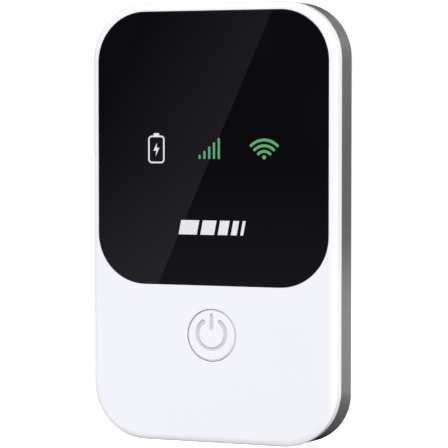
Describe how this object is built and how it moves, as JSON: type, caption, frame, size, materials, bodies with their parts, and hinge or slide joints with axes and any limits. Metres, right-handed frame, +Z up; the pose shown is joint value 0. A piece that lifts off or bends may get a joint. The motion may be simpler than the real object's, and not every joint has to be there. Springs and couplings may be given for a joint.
{
  "type": "mobile hotspot",
  "caption": "Pocket mobile hotspot with a glossy indicator panel, round power button, pull-off back cover, removable battery, SIM holder and USB-C port.",
  "frame": {"origin": "centre of the footprint of the upright case, at its lower edge", "axes": "+Z up along the case's length, front face towards -Y, +X to the right as seen from the front"},
  "size_m": [0.0584, 0.014, 0.098],
  "materials": {
    "shell_white": "gloss moulded",
    "cover_white": "fine satin moulded",
    "button_white": "gloss moulded",
    "band_grey": "satin metallic lacquer",
    "panel_black": "clear over black print",
    "print_green": "printed",
    "print_white": "printed",
    "symbol_grey": "pad printed in a groove",
    "tape_black": "foam tape",
    "milky": "translucent",
    "frame_black": "moulded",
    "led_amber": "clear cap",
    "switch_metal": "stamped",
    "board_green": "solder mask",
    "chip_black": "moulded epoxy",
    "passive_tan": "fired",
    "shield_nickel": "nickel plated",
    "ferrite": "moulded",
    "pad_blue": "soft gap filler",
    "gold": "gold plated",
    "port_steel": "stamped",
    "flex_copper": "copper on film",
    "screw_steel": "black zinc",
    "card_plastic": "card",
    "cell_metal": "foil pouch",
    "label_silver": "printed film",
    "label_white": "printed film"
  },
  "bodies": {
    "housing": {"amplifier_chips": "chip_black", "antenna_clips": "gold", "baseband_chip": "chip_black", "baseband_shield": "shield_nickel", "battery_connector": "frame_black", "battery_fingers": "gold", "battery_icon": "print_white", "crystal": "shield_nickel", "diversity_antenna": "flex_copper", "front_shell": "shell_white", "housing_screws": "screw_steel", "lens_adhesive": "tape_black", "lens_panel": "panel_black", "light_diffusers": "milky", "light_shroud": "frame_black", "main_antenna": "flex_copper", "main_board": "board_green", "memory_chip": "chip_black", "mid_frame": "band_grey", "panel_mark": "print_white", "passives": "passive_tan", "power_chip": "chip_black", "power_inductors": "ferrite", "power_shield": "shield_nickel", "power_switch_body": "switch_metal", "radio_chip": "chip_black", "radio_shield": "shield_nickel", "rating_label": "label_white", "reset_switch_body": "frame_black", "signal_icon": "print_green", "sim_contacts": "gold", "sim_holder_base": "frame_black", "sim_holder_cage": "port_steel", "status_leds": "led_amber", "thermal_pad": "pad_blue", "usb_contacts": "gold", "usb_shell": "port_steel", "usb_tongue": "frame_black", "wireless_antenna": "flex_copper", "wireless_chip": "chip_black", "wireless_icon": "print_green", "wireless_shield": "shield_nickel"},
    "power_key": {"power_button": "button_white", "power_symbol": "symbol_grey", "power_switch_plunger": "frame_black"},
    "reset_key": {"reset_switch_plunger": "milky"},
    "cover": {"back_cover": "cover_white"},
    "battery": {"battery_cell": "cell_metal", "battery_end_cap": "frame_black", "battery_terminals": "gold", "battery_label": "label_silver"},
    "sim": {"sim_card": "card_plastic", "sim_card_pads": "gold"}
  },
  "joints": [
    {"name": "power_press", "type": "slide", "parent": "housing", "child": "power_key", "axis": [0, 1, 0], "range_m": [0, 0.0003], "stiffness_N_per_m": 3000, "springref_m": -0.0002},
    {"name": "reset_press", "type": "slide", "parent": "housing", "child": "reset_key", "axis": [0, 0, 1], "range_m": [0, 0.00025], "stiffness_N_per_m": 3000, "springref_m": -0.0002},
    {"name": "cover_pull", "type": "slide", "parent": "housing", "child": "cover", "axis": [0, 1, 0], "range_m": [0, 0.04]},
    {"name": "battery_pull", "type": "slide", "parent": "housing", "child": "battery", "axis": [0, 1, 0], "range_m": [0, 0.02]},
    {"name": "sim_slide", "type": "slide", "parent": "housing", "child": "sim", "axis": [-1, 0, 0], "range_m": [0, 0.012]}
  ],
  "couplings": [
    {"joint": "battery_pull", "follows": "cover_pull", "ratio": 0.5}
  ]
}
